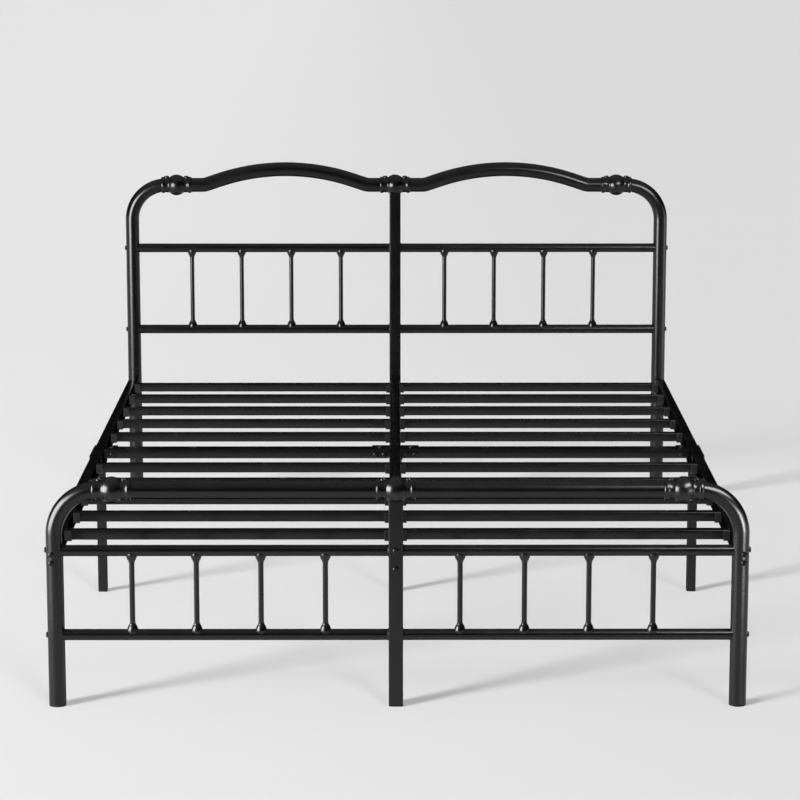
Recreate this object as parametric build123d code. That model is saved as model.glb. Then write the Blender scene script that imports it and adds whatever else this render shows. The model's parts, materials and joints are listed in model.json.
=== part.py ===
from build123d import *
import os
from math import cos, radians, sqrt, tan

os.makedirs("parts", exist_ok=True)

# Tubular steel bed frame for a 1524 x 2032 mm mattress.
# Origin: on the floor, under the middle of the frame. +X is to the right seen from the foot end,
# +Y runs from the footboard to the headboard, +Z is up. Millimetres.

# ---------------------------------------------------------------- driving dimensions
MATTRESS_LENGTH = 2032.0      # clear length between the corner posts
POST_D = 38.0                 # corner posts
POST_WALL = 1.5
POST_X = 757.0                # corner post axes, left and right of the middle
BEND_R = 100.0                # bend at the top of a corner post, on its axis
CENTRE_X = -4.0               # centre posts and centre rail stand slightly left of the middle
CENTRE_POST_W = 32.0          # square tube

TOP_D = 40.0                  # top tubes and arches
TOP_WALL = 1.5
HEAD_TOP_Z = 927.5            # axis of the headboard's top tube where it is flat
FOOT_TOP_Z = 490.5            # axis of the footboard's top tube
ARCH_RISE = 45.0              # rise of each headboard arch, on its axis
ARCH_SLOPE = 18.5             # degrees
ARCH_CROWN_R = 600.0
ARCH_HEEL_R = 50.0

BALL_X = 629.0                # outer ball joints
BALL_R = 29.6
COLLAR_R = 21.2
COLLAR_LIP_R = 23.1
COLLAR_LIP_START = 33.0
COLLAR_END = 43.5             # from the ball's centre
COLLAR_END_R = 20.4
SOCKET_DEPTH_X = 22.0         # the tubes stop this far from the ball's centre
SPIGOT_WALL = 2.5
SPIGOT_REACH = 48.0           # into a tube, from the ball's centre
SPIGOT_SHORT_REACH = 34.0     # into a corner post, where its bend begins soon
STUB_DEPTH = 55.0             # how far the centre ball's stub goes down into the centre post
STUB_OVERLAP = 6.0
SCREW_X = 28.0                # collar screws, from the ball's centre
SCREW_LENGTH = 9.0
SCREW_SINK = 1.6

RAIL_D = 25.0
RAIL_WALL = 1.2
HEAD_RAILS_Z = (746.0, 510.0)
FOOT_RAILS_Z = (353.5, 162.0)

SPINDLE_D = 12.0
SPINDLE_WALL = 1.2
SPINDLE_PITCH = 142.5
SPINDLE_INNER_X = 148.9       # innermost spindle, from the middle of the spindle rows
SPINDLE_ROWS_X = -10.9        # middle of the spindle rows
SPINDLES_PER_SIDE = 4
KNUCKLE_R = 12.6
KNUCKLE_LIFT = 8.5            # widest part of a knuckle, above its rail's axis
KNUCKLE_CHEEK_R = 24.4        # long curve from the widest part towards the spindle
KNUCKLE_NECK_R = 6.6          # hollow curve that runs out along the spindle
KNUCKLE_CHEEK_ANGLE = 35.3

DECK_Z = 363.0                # top of rails and slats
RAIL_W = 25.0                 # side rails and centre rail
SIDE_RAIL_H = 40.0
SIDE_RAIL_WALL = 1.5
RAIL_CORNER_R = 3.0
CENTRE_RAIL_H = 60.0
JOINT_Y = 15.0                # where the front and rear halves of the rails meet
JOINT_GAP = 1.0
SLEEVE_LENGTH = 140.0
SLEEVE_FIT = 0.5
SLEEVE_RIM_DROP = 1.0         # a sleeve's rim below the top of its rail
SLEEVE_BOLTS = (-56.0, -32.0, 46.0, 60.0)
SIDE_SLEEVE_WALL = 3.0
CENTRE_SLEEVE_WALL = 2.5

SLAT_W = 25.0
SLAT_H = 22.0
SLAT_WALL = 1.0
SLAT_CORNER_R = 2.0
SLATS_Y = {
    "front": (-145.0, -326.0, -507.0, -688.0, -869.0),
    "rear": (965.0, 784.5, 604.0, 423.5, 243.0),
}
SIDE_HOLDER_LENGTH = 15.0
CENTRE_HOLDER_LENGTH = 13.0
HOLDER_WALL = 3.0
HOLDER_BACK = 2.0
HOLDER_CORNER_R = 2.5
HOLDER_RIM_DROP = 1.5         # a holder's rim below the top of its slat
PEG_R = 4.0
PEG_DEPTH = 4.5
PEG_HOLE_DEPTH = 6.0

CROSSBAR_Y = 36.5
CROSSBAR_W = 57.0
CROSSBAR_H = 20.5
CROSSBAR_WALL = 1.5
CROSSBAR_CORNER_R = 2.0
SIDE_BRACKET_LENGTH = 30.0
SIDE_BRACKET_BOLTS = (18.0, 20.0)             # top bolt, then front bolts, from the rail
CENTRE_BRACKET_LENGTH = 44.0
CENTRE_BRACKET_BOLTS = (24.0, 13.0, 35.0)
BRACKET_PLATE = 2.5
BRACKET_FLANGE = 3.0
BRACKET_CORNER_R = 2.0
BRACKET_SKIRT_GAP = 2.0       # a bracket's skirt stops this far above the crossbar's underside
BRACKET_BOLT_REACH = 6.0

LEG_X = 755.0
LEG_Y = -12.0
LEG_W = 23.0
LEG_WALL = 1.5
LEG_PLATE = 4.0
LEG_PLATE_LENGTH = 40.0
LEG_PLATE_MARGIN = 1.0

CAP_FLOOR = 4.0               # thickness of a foot cap under the tube
CAP_PLUG = 20.0
CAP_FIT = 0.2
CAP_EDGE_R = 1.2
CAP_CORNER_R = 2.5
PLUG_CORNER = 1.5

M6_R, M8_R = 3.0, 4.0
SMALL_HEAD_R, SMALL_HEAD_H, SMALL_SOCKET_R = 6.3, 4.0, 2.5
FLAT_HEAD_H = 3.0
LARGE_HEAD_R, LARGE_HEAD_H, LARGE_SOCKET_R = 7.0, 5.0, 3.0
HOLE_FIT = 0.25
INSERT_LENGTH = 16.0
THREAD_IN_INSERT = 13.0
RAIL_BOLT_SINK = 1.2          # these heads sit this far into the round of the post
UPPER_FOOT_BOLT_LIFT = 1.5    # keeps this rail's bolt clear of the side rail's upper bolt

RAIL_GAP = 4.0                # side rail's end to the corner post
SADDLE_DEPTH = 15.0           # end block, from the side rail's end
BLOCK_PLUG = 28.0             # end block's plug in the side rail
SIDE_BOLT_X = 763.0
SIDE_BOLTS_Z = (348.0, 329.0)
SIDE_BOLT_SINK = 1.5
SIDE_BOLT_DEPTH = 20.0        # into the end block's plug
END_PLATE = 3.0               # centre rail's end plate
BOSS_LENGTH, BOSS_R = 10.0, 7.0
BOSS_TOP_MARGIN = 9.0
CENTRE_BOLTS_Z = (356.0, 314.0)

# ---------------------------------------------------------------- worked-out places
END_Y = MATTRESS_LENGTH / 2 + POST_D / 2
POST_R, TOP_R, RAIL_R, SPINDLE_R = POST_D / 2, TOP_D / 2, RAIL_D / 2, SPINDLE_D / 2
SPIGOT_R = POST_R - POST_WALL - CAP_FIT
SIDE_OUTER_X = POST_X + POST_R
SIDE_INNER_X = SIDE_OUTER_X - RAIL_W
SIDE_MIDDLE_X = SIDE_OUTER_X - RAIL_W / 2
SIDE_BOTTOM_Z = DECK_Z - SIDE_RAIL_H
SIDE_MIDDLE_Z = DECK_Z - SIDE_RAIL_H / 2
SIDE_RAIL_END_Y = END_Y - POST_R - RAIL_GAP
SIDE_SLEEVE_HALF = RAIL_W / 2 + SLEEVE_FIT + SIDE_SLEEVE_WALL
SIDE_SLEEVE_BOTTOM = SIDE_BOTTOM_Z - SLEEVE_FIT - SIDE_SLEEVE_WALL
CENTRE_HALF = RAIL_W / 2
CENTRE_BOTTOM_Z = DECK_Z - CENTRE_RAIL_H
CENTRE_MIDDLE_Z = DECK_Z - CENTRE_RAIL_H / 2
CENTRE_POST_FACE_Y = END_Y - CENTRE_POST_W / 2
CENTRE_RAIL_END_Y = CENTRE_POST_FACE_Y - END_PLATE
CENTRE_SLEEVE_HALF = RAIL_W / 2 + SLEEVE_FIT + CENTRE_SLEEVE_WALL
CENTRE_SLEEVE_BOTTOM = CENTRE_BOTTOM_Z - SLEEVE_FIT - CENTRE_SLEEVE_WALL
SLAT_BOTTOM_Z = DECK_Z - SLAT_H
SLAT_MIDDLE_Z = DECK_Z - SLAT_H / 2
CROSSBAR_Z = DECK_Z - CROSSBAR_H / 2
BRACKET_FACE_X = SIDE_MIDDLE_X - SIDE_SLEEVE_HALF
SLEEVE_BOLTS_Y = [JOINT_Y + offset for offset in SLEEVE_BOLTS]
SIDES = {"left": -1, "right": 1}
ENDS = {"headboard": 1, "footboard": -1}
TOP_Z = {"headboard": HEAD_TOP_Z, "footboard": FOOT_TOP_Z}
RAILS_Z = {"headboard": HEAD_RAILS_Z, "footboard": FOOT_RAILS_Z}
BALLS_X = {"left": -BALL_X, "centre": CENTRE_X, "right": BALL_X}
HALVES = {"front": -1, "rear": 1}
LOW = (Align.CENTER, Align.CENTER, Align.MIN)
CLEAR = 20.0                  # how far cutting tools run past what they cut


# ---------------------------------------------------------------- small tools
def rod(start, end, radius):
    """Solid round bar between two points."""
    start, end = Vector(*start), Vector(*end)
    return Plane(origin=start, z_dir=end - start) * Cylinder(radius, (end - start).length, align=LOW)


def block(x, y, z):
    """Box from three (low, high) pairs."""
    size = [abs(pair[1] - pair[0]) for pair in (x, y, z)]
    middle = [(pair[0] + pair[1]) / 2 for pair in (x, y, z)]
    return Pos(*middle) * Box(*size)


def square_tube(plane, width, height, wall, length, corner=2.5):
    """Rectangular tube, drawn on a plane and running along its normal."""
    outer = RectangleRounded(width, height, corner)
    inner = RectangleRounded(width - 2 * wall, height - 2 * wall, corner - wall)
    return extrude(plane * (outer - inner), length)


def along_x(x, y, z):
    return Plane(origin=(x, y, z), x_dir=(0, 1, 0), z_dir=(1, 0, 0))


def along_y(x, y, z):
    return Plane(origin=(x, y, z), x_dir=(-1, 0, 0), z_dir=(0, 1, 0))


def swept(path, radius):
    """Solid bar of a round section along a path."""
    return sweep(Plane(origin=path @ 0, z_dir=path % 0) * Circle(radius), path=path)


def cut(body, tools):
    for tool in tools:
        body -= tool
    return body


def bolt(seat, direction, radius, head_r, head_h, length, socket_r):
    """Round-headed bolt with a hexagon socket. direction points out of the head."""
    crown_r, crown_h = head_r * 0.78, head_h * 0.83
    top_r, rim_h, socket_depth = head_r * 0.42, head_h * 0.45, head_h * 0.6
    with BuildPart() as made:
        with BuildSketch(Plane.XZ):
            with BuildLine():
                Polyline((0, -length), (radius, -length), (radius, 0), (head_r, 0), (head_r, rim_h))
                ThreePointArc((head_r, rim_h), (crown_r, crown_h), (top_r, head_h))
                Polyline((top_r, head_h), (0, head_h), (0, -length))
            make_face()
        revolve(axis=Axis.Z)
        with BuildSketch(Plane.XY.offset(head_h)):
            RegularPolygon(socket_r, 6)
        extrude(amount=-socket_depth, mode=Mode.SUBTRACT)
    return Plane(origin=seat, z_dir=direction) * made.part


def small_bolt(seat, direction, length, head_h=FLAT_HEAD_H):
    return bolt(seat, direction, M6_R, SMALL_HEAD_R, head_h, length, SMALL_SOCKET_R)


def large_bolt(seat, direction, length):
    return bolt(seat, direction, M8_R, LARGE_HEAD_R, LARGE_HEAD_H, length, LARGE_SOCKET_R)


def group(shapes):
    """Several separate solids kept in one node."""
    return Compound(children=[solid for shape in shapes for solid in shape.solids()])


# ---------------------------------------------------------------- corner posts and top tubes
def end_y(end):
    return ENDS[end] * END_Y


def rail_bolt_z(rail_z):
    return rail_z + UPPER_FOOT_BOLT_LIFT if rail_z == FOOT_RAILS_Z[0] else rail_z


def collar_screw_xs():
    return [x + side * SCREW_X for x in BALLS_X.values() for side in SIDES.values()]


def collar_screw_holes(end):
    y, z = end_y(end), TOP_Z[end]
    return [rod((x, y, z), (x, y, z + COLLAR_R + 1), M8_R) for x in collar_screw_xs()]


def corner_bolt_holes(end, side):
    """Holes through a corner post for the bolts of its side rail and of its round rails."""
    y = end_y(end)
    holes = [
        rod((side * SIDE_BOLT_X, y - POST_D, z), (side * SIDE_BOLT_X, y + POST_D, z), M6_R + HOLE_FIT)
        for z in SIDE_BOLTS_Z
    ]
    for z in map(rail_bolt_z, RAILS_Z[end]):
        inner, outer = side * (POST_X - POST_D), side * (POST_X + POST_D)
        holes.append(rod((inner, y, z), (outer, y, z), M6_R + HOLE_FIT))
    return holes


def post_path(end, side):
    """Axis of a corner post: up, round the bend and a short way towards the middle."""
    x, y, top_z = side * POST_X, end_y(end), TOP_Z[end]
    corners = [(x, y, CAP_FLOOR), (x, y, top_z), (side * (BALL_X + SOCKET_DEPTH_X), y, top_z)]
    return FilletPolyline(*corners, radius=BEND_R)


def post_solid(end, side):
    return swept(post_path(end, side), POST_R)


def corner_post(end, side):
    bore = swept(post_path(end, side), POST_R - POST_WALL)
    return cut(post_solid(end, side) - bore, corner_bolt_holes(end, side) + collar_screw_holes(end))


def straight_path(end, side):
    """Axis of a footboard top tube, from inside its outer ball joint to inside the centre one."""
    y, z = end_y(end), TOP_Z[end]
    return Line((side * (BALL_X - SOCKET_DEPTH_X), y, z), (CENTRE_X + side * SOCKET_DEPTH_X, y, z))


def arch_path(end, side):
    """Axis of a headboard arch: flat, up a short slope, over the crown and down again."""
    slope = radians(ARCH_SLOPE)
    lift = ARCH_CROWN_R * (1 / cos(slope) - 1)
    half_base = (ARCH_RISE + lift) / tan(slope)
    middle = (side * BALL_X + CENTRE_X) / 2
    y, z = end_y(end), TOP_Z[end]
    corners = [
        (side * (BALL_X - SOCKET_DEPTH_X), y, z),
        (middle + side * half_base, y, z),
        (middle, y, z + half_base * tan(slope)),
        (middle - side * half_base, y, z),
        (CENTRE_X + side * SOCKET_DEPTH_X, y, z),
    ]
    return FilletPolyline(*corners, radius=[ARCH_HEEL_R, ARCH_CROWN_R, ARCH_HEEL_R])


def top_path(end, side):
    return arch_path(end, side) if end == "headboard" else straight_path(end, side)


def top_tube(end, side):
    path = top_path(end, side)
    return cut(swept(path, TOP_R) - swept(path, TOP_R - TOP_WALL), collar_screw_holes(end))


# ---------------------------------------------------------------- ball joints
def ball_body(x, y, z):
    """Outside of a ball joint: a ball between two collars, turned about the tube's axis."""
    meet = sqrt(BALL_R**2 - COLLAR_R**2)
    lip_middle = (COLLAR_LIP_START + COLLAR_END) / 2
    with BuildPart() as made:
        with BuildSketch(Plane.XZ):
            with BuildLine():
                ThreePointArc((-meet, COLLAR_R), (0, BALL_R), (meet, COLLAR_R))
                for side in SIDES.values():
                    Line((side * meet, COLLAR_R), (side * COLLAR_LIP_START, COLLAR_R))
                    ThreePointArc(
                        (side * COLLAR_LIP_START, COLLAR_R),
                        (side * lip_middle, COLLAR_LIP_R),
                        (side * COLLAR_END, COLLAR_END_R),
                    )
                    Line((side * COLLAR_END, COLLAR_END_R), (side * COLLAR_END, 0))
                Line((-COLLAR_END, 0), (COLLAR_END, 0))
            make_face()
        revolve(axis=Axis.X)
    return Pos(x, y, z) * made.part


def spigot_bar(end, name, radius=SPIGOT_R):
    """Bar through a ball joint into the tubes on both sides, shorter towards a corner post."""
    x, y, z = BALLS_X[name], end_y(end), TOP_Z[end]
    left = SPIGOT_SHORT_REACH if name == "left" else SPIGOT_REACH
    right = SPIGOT_SHORT_REACH if name == "right" else SPIGOT_REACH
    return rod((x - left, y, z), (x + right, y, z), radius)


def spigot(end, name):
    tube = spigot_bar(end, name) - spigot_bar(end, name, SPIGOT_R - SPIGOT_WALL)
    return cut(tube, collar_screw_holes(end))


def centre_stub(end):
    """Square stub under the centre ball, which plugs into the centre post."""
    half = CENTRE_POST_W / 2 - POST_WALL - CAP_FIT
    y, z = end_y(end), TOP_Z[end]
    stub = block(
        (CENTRE_X - half, CENTRE_X + half),
        (y - half, y + half),
        (z - STUB_DEPTH, z - SPIGOT_R + STUB_OVERLAP),
    )
    return fillet(stub.edges().filter_by(Axis.Z), PLUG_CORNER)


def ball_joint(end, name, tubes):
    """Cast joint round its spigot and the ends of its two tubes."""
    body = ball_body(BALLS_X[name], end_y(end), TOP_Z[end])
    if name == "centre":
        body += centre_stub(end)
    return cut(body, [spigot_bar(end, name)] + tubes + collar_screw_holes(end))


def collar_screw(x, y, z):
    """Screw on top of a collar, with its head sunk a little into the round."""
    screw = large_bolt((x, y, z + COLLAR_R), (0, 0, 1), SCREW_LENGTH)
    under = Pos(x, y, z + COLLAR_R - SCREW_SINK) * Cylinder(LARGE_HEAD_R, SCREW_SINK, align=LOW)
    collar = rod((x - CLEAR, y, z), (x + CLEAR, y, z), COLLAR_R)
    return screw + (under - collar)


# ---------------------------------------------------------------- centre posts, round rails and spindles
def centre_post(end):
    """Square post, coped to sit under the centre ball."""
    y, z = end_y(end), TOP_Z[end]
    cope_z = z - sqrt(BALL_R**2 - CENTRE_POST_W**2 / 2)
    foot = Plane(origin=(CENTRE_X, y, CAP_FLOOR))
    post = square_tube(foot, CENTRE_POST_W, CENTRE_POST_W, POST_WALL, cope_z - CAP_FLOOR)
    post -= Pos(CENTRE_X, y, z) * Sphere(BALL_R)
    holes = [
        rod((CENTRE_X, y - CLEAR, bolt_z), (CENTRE_X, y + CLEAR, bolt_z), M8_R + HOLE_FIT)
        for bolt_z in CENTRE_BOLTS_Z
    ]
    return cut(post, holes)


def round_rail(end, side, z):
    """Round rail, butted to the centre post and coped to the corner post."""
    y = end_y(end)
    inner, outer = (CENTRE_X + side * CENTRE_POST_W / 2, y, z), (side * POST_X, y, z)
    tube = rod(inner, outer, RAIL_R) - rod(inner, outer, RAIL_R - RAIL_WALL)
    return tube - post_length(end, side, z)


def post_length(end, side, z):
    """Solid length of a corner post either side of a height."""
    x, y = side * POST_X, end_y(end)
    return rod((x, y, z - POST_D), (x, y, z + POST_D), POST_R)


def rail_insert(end, side, z):
    """Threaded plug in the end of a round rail."""
    y, face = end_y(end), side * (POST_X - POST_R)
    plug = rod((face - side * INSERT_LENGTH, y, z), (face, y, z), RAIL_R - RAIL_WALL)
    bolt_z = rail_bolt_z(z)
    return plug - rod((face - side * THREAD_IN_INSERT, y, bolt_z), (face, y, bolt_z), M6_R)


def rail_bolt(end, side, z):
    """Bolt through a corner post into a round rail's insert, its head fitted to the post's round."""
    y, bolt_z = end_y(end), rail_bolt_z(z)
    tip = (side * (POST_X - POST_R - THREAD_IN_INSERT), y, bolt_z)
    seat = (side * (POST_X + POST_R - RAIL_BOLT_SINK), y, bolt_z)
    length = abs(seat[0] - tip[0])
    made = small_bolt(seat, (side, 0, 0), length, SMALL_HEAD_H + RAIL_BOLT_SINK)
    return (made - post_length(end, side, bolt_z)) + rod(tip, seat, M6_R)


def spindle(end, x):
    """Thin upright tube, coped to the rails above and below."""
    y = end_y(end)
    high, low = RAILS_Z[end]
    bottom, top = (x, y, low), (x, y, high)
    tube = rod(bottom, top, SPINDLE_R) - rod(bottom, top, SPINDLE_R - SPINDLE_WALL)
    return cut(tube, [rod((x - CLEAR, y, z), (x + CLEAR, y, z), RAIL_R) for z in RAILS_Z[end]])


def knuckle(end, x, rail_z):
    """Cast egg-shaped knuckle round a spindle where it meets a rail."""
    y = end_y(end)
    bottom = KNUCKLE_LIFT - KNUCKLE_R
    with BuildPart() as made:
        with BuildSketch(Plane.XZ):
            with BuildLine():
                CenterArc((0, KNUCKLE_LIFT), KNUCKLE_R, -90, 90)
                cheek = JernArc((KNUCKLE_R, KNUCKLE_LIFT), (0, 1), KNUCKLE_CHEEK_R, KNUCKLE_CHEEK_ANGLE)
                neck = JernArc(cheek @ 1, cheek % 1, KNUCKLE_NECK_R, -KNUCKLE_CHEEK_ANGLE)
                Polyline(neck @ 1, (0, (neck @ 1).Y), (0, bottom))
            make_face()
        revolve(axis=Axis.Z)
    is_low = rail_z == min(RAILS_Z[end])
    turned = made.part if is_low else Rot(180, 0, 0) * made.part
    bore = rod((x, y, rail_z - RAIL_D - CLEAR), (x, y, rail_z + RAIL_D + CLEAR), SPINDLE_R)
    rail = rod((x - CLEAR, y, rail_z), (x + CLEAR, y, rail_z), RAIL_R)
    return Pos(x, y, rail_z) * turned - rail - bore


def spindle_xs():
    firsts = {side: SPINDLE_ROWS_X + side * SPINDLE_INNER_X for side in SIDES.values()}
    return [x + side * i * SPINDLE_PITCH for side, x in firsts.items() for i in range(SPINDLES_PER_SIDE)]


# ---------------------------------------------------------------- side rails
def half_span(half, end_at):
    """Where the front or rear half of a rail starts and stops along Y, in rising order."""
    facing = HALVES[half]
    return sorted((facing * end_at, JOINT_Y + facing * JOINT_GAP / 2))


def side_rail(half, side):
    start, stop = half_span(half, SIDE_RAIL_END_Y)
    plane = along_y(side * SIDE_MIDDLE_X, start, SIDE_MIDDLE_Z)
    rail = square_tube(plane, RAIL_W, SIDE_RAIL_H, SIDE_RAIL_WALL, stop - start, RAIL_CORNER_R)
    inner, outer = side * (SIDE_INNER_X - 1), side * (SIDE_OUTER_X + 1)
    peg_end = side * (SIDE_INNER_X + PEG_HOLE_DEPTH)
    holes = [rod((inner, y, SLAT_MIDDLE_Z), (peg_end, y, SLAT_MIDDLE_Z), PEG_R) for y in SLATS_Y[half]]
    holes += [rod((inner, y, SIDE_MIDDLE_Z), (outer, y, SIDE_MIDDLE_Z), M6_R + HOLE_FIT)
              for y in SLEEVE_BOLTS_Y]
    return cut(rail, holes)


def side_bolt_ends(end, side, z):
    """Tip and seat of a bolt through a corner post into a side rail's end block."""
    facing = ENDS[end]
    tip = (side * SIDE_BOLT_X, facing * (SIDE_RAIL_END_Y - SIDE_BOLT_DEPTH), z)
    seat = (side * SIDE_BOLT_X, facing * (END_Y + POST_R - SIDE_BOLT_SINK), z)
    return tip, seat


def end_block(end, side):
    """Cast block: hollowed to the corner post outside, plugged into the side rail inside."""
    facing = ENDS[end]
    saddle = block(
        (side * SIDE_INNER_X, side * SIDE_OUTER_X),
        (facing * SIDE_RAIL_END_Y, facing * (SIDE_RAIL_END_Y + SADDLE_DEPTH)),
        (SIDE_BOTTOM_Z, DECK_Z),
    )
    gap = SIDE_RAIL_WALL + CAP_FIT
    plug = block(
        (side * (SIDE_INNER_X + gap), side * (SIDE_OUTER_X - gap)),
        (facing * (SIDE_RAIL_END_Y - BLOCK_PLUG), facing * SIDE_RAIL_END_Y),
        (SIDE_BOTTOM_Z + gap, DECK_Z - gap),
    )
    saddle = fillet(saddle.edges().filter_by(Axis.Y), RAIL_CORNER_R)
    plug = fillet(plug.edges().filter_by(Axis.Y), PLUG_CORNER)
    shanks = [rod(*side_bolt_ends(end, side, z), M6_R) for z in SIDE_BOLTS_Z]
    return cut(saddle + plug, [post_length(end, side, SIDE_MIDDLE_Z)] + shanks)


def side_rail_bolt(end, side, z):
    facing = ENDS[end]
    tip, seat = side_bolt_ends(end, side, z)
    head = small_bolt(seat, (0, facing, 0), 2 * SIDE_BOLT_SINK, SMALL_HEAD_H + SIDE_BOLT_SINK)
    wedge = rod(seat, (seat[0], seat[1] - facing * SMALL_HEAD_R, z), SMALL_HEAD_R)
    return ((head + wedge) - post_length(end, side, z)) + rod(tip, seat, M6_R)


# ---------------------------------------------------------------- centre rail
def centre_rail(half):
    start, stop = half_span(half, CENTRE_RAIL_END_Y)
    plane = along_y(CENTRE_X, start, CENTRE_MIDDLE_Z)
    rail = square_tube(plane, RAIL_W, CENTRE_RAIL_H, SIDE_RAIL_WALL, stop - start, RAIL_CORNER_R)
    left, right = CENTRE_X - CLEAR, CENTRE_X + CLEAR
    holes = [rod((left, y, SLAT_MIDDLE_Z), (right, y, SLAT_MIDDLE_Z), PEG_R) for y in SLATS_Y[half]]
    holes += [rod((left, y, CENTRE_MIDDLE_Z), (right, y, CENTRE_MIDDLE_Z), M6_R + HOLE_FIT)
              for y in SLEEVE_BOLTS_Y]
    return cut(rail, holes)


def end_plate(end):
    """Plate with two threaded bosses that closes the centre rail at a centre post."""
    facing = ENDS[end]
    back_y = CENTRE_RAIL_END_Y - BOSS_LENGTH
    plate = block(
        (CENTRE_X - CENTRE_HALF, CENTRE_X + CENTRE_HALF),
        (facing * CENTRE_RAIL_END_Y, facing * CENTRE_POST_FACE_Y),
        (CENTRE_BOTTOM_Z, DECK_Z),
    )
    for z in CENTRE_BOLTS_Z:
        boss_z = min(z, DECK_Z - BOSS_TOP_MARGIN)
        back, front = (CENTRE_X, facing * back_y, boss_z), (CENTRE_X, facing * CENTRE_RAIL_END_Y, boss_z)
        plate += rod(back, front, BOSS_R)
    holes = [rod((CENTRE_X, facing * (back_y - 2), z), (CENTRE_X, facing * END_Y, z), M8_R)
             for z in CENTRE_BOLTS_Z]
    return cut(plate, holes)


def centre_rail_bolt(end, z):
    facing = ENDS[end]
    seat = (CENTRE_X, facing * (END_Y + CENTRE_POST_W / 2), z)
    return large_bolt(seat, (0, facing, 0), CENTRE_POST_W + END_PLATE + BOSS_LENGTH)


# ---------------------------------------------------------------- joint sleeves in the middle of the rails
def sleeve(x, half, bottom_z, wall):
    """Open-topped channel round the ends of two rail halves."""
    y = (JOINT_Y - SLEEVE_LENGTH / 2, JOINT_Y + SLEEVE_LENGTH / 2)
    body = block((x - half, x + half), y, (bottom_z, DECK_Z - SLEEVE_RIM_DROP))
    body = fillet(body.edges().filter_by(Axis.Y).group_by(Axis.Z)[0], wall * 0.9)
    return body - block((x - half + wall, x + half - wall), y, (bottom_z + wall, DECK_Z + CLEAR))


def sleeve_bolts(x, side, half, z):
    return [small_bolt((x + side * half, y, z), (side, 0, 0), 2 * half) for y in SLEEVE_BOLTS_Y]


def sleeve_holes(x, half, z):
    return [rod((x - half, y, z), (x + half, y, z), M6_R) for y in SLEEVE_BOLTS_Y]


def side_sleeve(side):
    x = side * SIDE_MIDDLE_X
    body = sleeve(x, SIDE_SLEEVE_HALF, SIDE_SLEEVE_BOTTOM, SIDE_SLEEVE_WALL)
    return cut(body, sleeve_holes(x, SIDE_SLEEVE_HALF, SIDE_MIDDLE_Z))


def centre_sleeve():
    body = sleeve(CENTRE_X, CENTRE_SLEEVE_HALF, CENTRE_SLEEVE_BOTTOM, CENTRE_SLEEVE_WALL)
    return cut(body, sleeve_holes(CENTRE_X, CENTRE_SLEEVE_HALF, CENTRE_MIDDLE_Z))


# ---------------------------------------------------------------- slats and their holders
def slat(side, y):
    inner = CENTRE_X + side * (CENTRE_HALF + HOLDER_BACK)
    outer = side * (SIDE_INNER_X - HOLDER_BACK)
    plane = along_x(min(inner, outer), y, SLAT_MIDDLE_Z)
    return square_tube(plane, SLAT_W, SLAT_H, SLAT_WALL, abs(outer - inner), SLAT_CORNER_R)


def holder(face_x, towards, y, length):
    """Plastic cradle on a rail's face, open at the top and at the slat's side, with a peg."""
    half = SLAT_W / 2
    outer = block(
        (face_x, face_x + towards * length),
        (y - half - HOLDER_WALL, y + half + HOLDER_WALL),
        (SLAT_BOTTOM_Z - HOLDER_WALL, DECK_Z - HOLDER_RIM_DROP),
    )
    outer = fillet(outer.edges().filter_by(Axis.X).group_by(Axis.Z)[0], HOLDER_CORNER_R)
    back_x = face_x + towards * HOLDER_BACK
    pocket = block((back_x, back_x + towards * (length + CLEAR)), (y - half, y + half),
                   (SLAT_BOTTOM_Z, DECK_Z + CLEAR))
    peg = rod((face_x - towards * PEG_DEPTH, y, SLAT_MIDDLE_Z), (back_x, y, SLAT_MIDDLE_Z), PEG_R)
    return (outer - pocket) + peg


# ---------------------------------------------------------------- middle crossbars and brackets
def bracket_bolts(face_x, towards, offsets):
    """One bolt on top of a bracket, and the others in its front."""
    front_y = CROSSBAR_Y - CROSSBAR_W / 2 - BRACKET_PLATE
    length = BRACKET_PLATE + BRACKET_BOLT_REACH
    top_seat = (face_x + towards * offsets[0], CROSSBAR_Y, DECK_Z + BRACKET_PLATE)
    found = [small_bolt(top_seat, (0, 0, 1), length)]
    for offset in offsets[1:]:
        found.append(small_bolt((face_x + towards * offset, front_y, CROSSBAR_Z), (0, -1, 0), length))
    return found


def bracket(face_x, towards, length, offsets):
    """Steel saddle over a crossbar's end, with a flange on the rail's sleeve."""
    half = CROSSBAR_W / 2
    body = block(
        (face_x, face_x + towards * length),
        (CROSSBAR_Y - half - BRACKET_PLATE, CROSSBAR_Y + half + BRACKET_PLATE),
        (DECK_Z - CROSSBAR_H + BRACKET_SKIRT_GAP, DECK_Z + BRACKET_PLATE),
    )
    body = fillet(body.edges().filter_by(Axis.X).group_by(Axis.Z)[-1], BRACKET_CORNER_R)
    pocket = block(
        (face_x + towards * BRACKET_FLANGE, face_x + towards * (length + CLEAR)),
        (CROSSBAR_Y - half, CROSSBAR_Y + half),
        (DECK_Z - CROSSBAR_H - CLEAR, DECK_Z),
    )
    return cut(body, [pocket] + bracket_bolts(face_x, towards, offsets))


def crossbar(side, bolts):
    ends = sorted((side * (BRACKET_FACE_X - BRACKET_FLANGE),
                   CENTRE_X + side * (CENTRE_SLEEVE_HALF + BRACKET_FLANGE)))
    plane = along_x(ends[0], CROSSBAR_Y, CROSSBAR_Z)
    length = ends[1] - ends[0]
    return cut(square_tube(plane, CROSSBAR_W, CROSSBAR_H, CROSSBAR_WALL, length, CROSSBAR_CORNER_R), bolts)


# ---------------------------------------------------------------- middle legs and foot caps
def leg(x, top_z, plate_x):
    """Square leg with a plate under the rail's sleeve."""
    tube_top = top_z - LEG_PLATE
    tube = square_tube(Plane(origin=(x, LEG_Y, CAP_FLOOR)), LEG_W, LEG_W, LEG_WALL, tube_top - CAP_FLOOR)
    half = LEG_PLATE_LENGTH / 2
    return tube + block(plate_x, (LEG_Y - half, LEG_Y + half), (tube_top, top_z))


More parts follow.
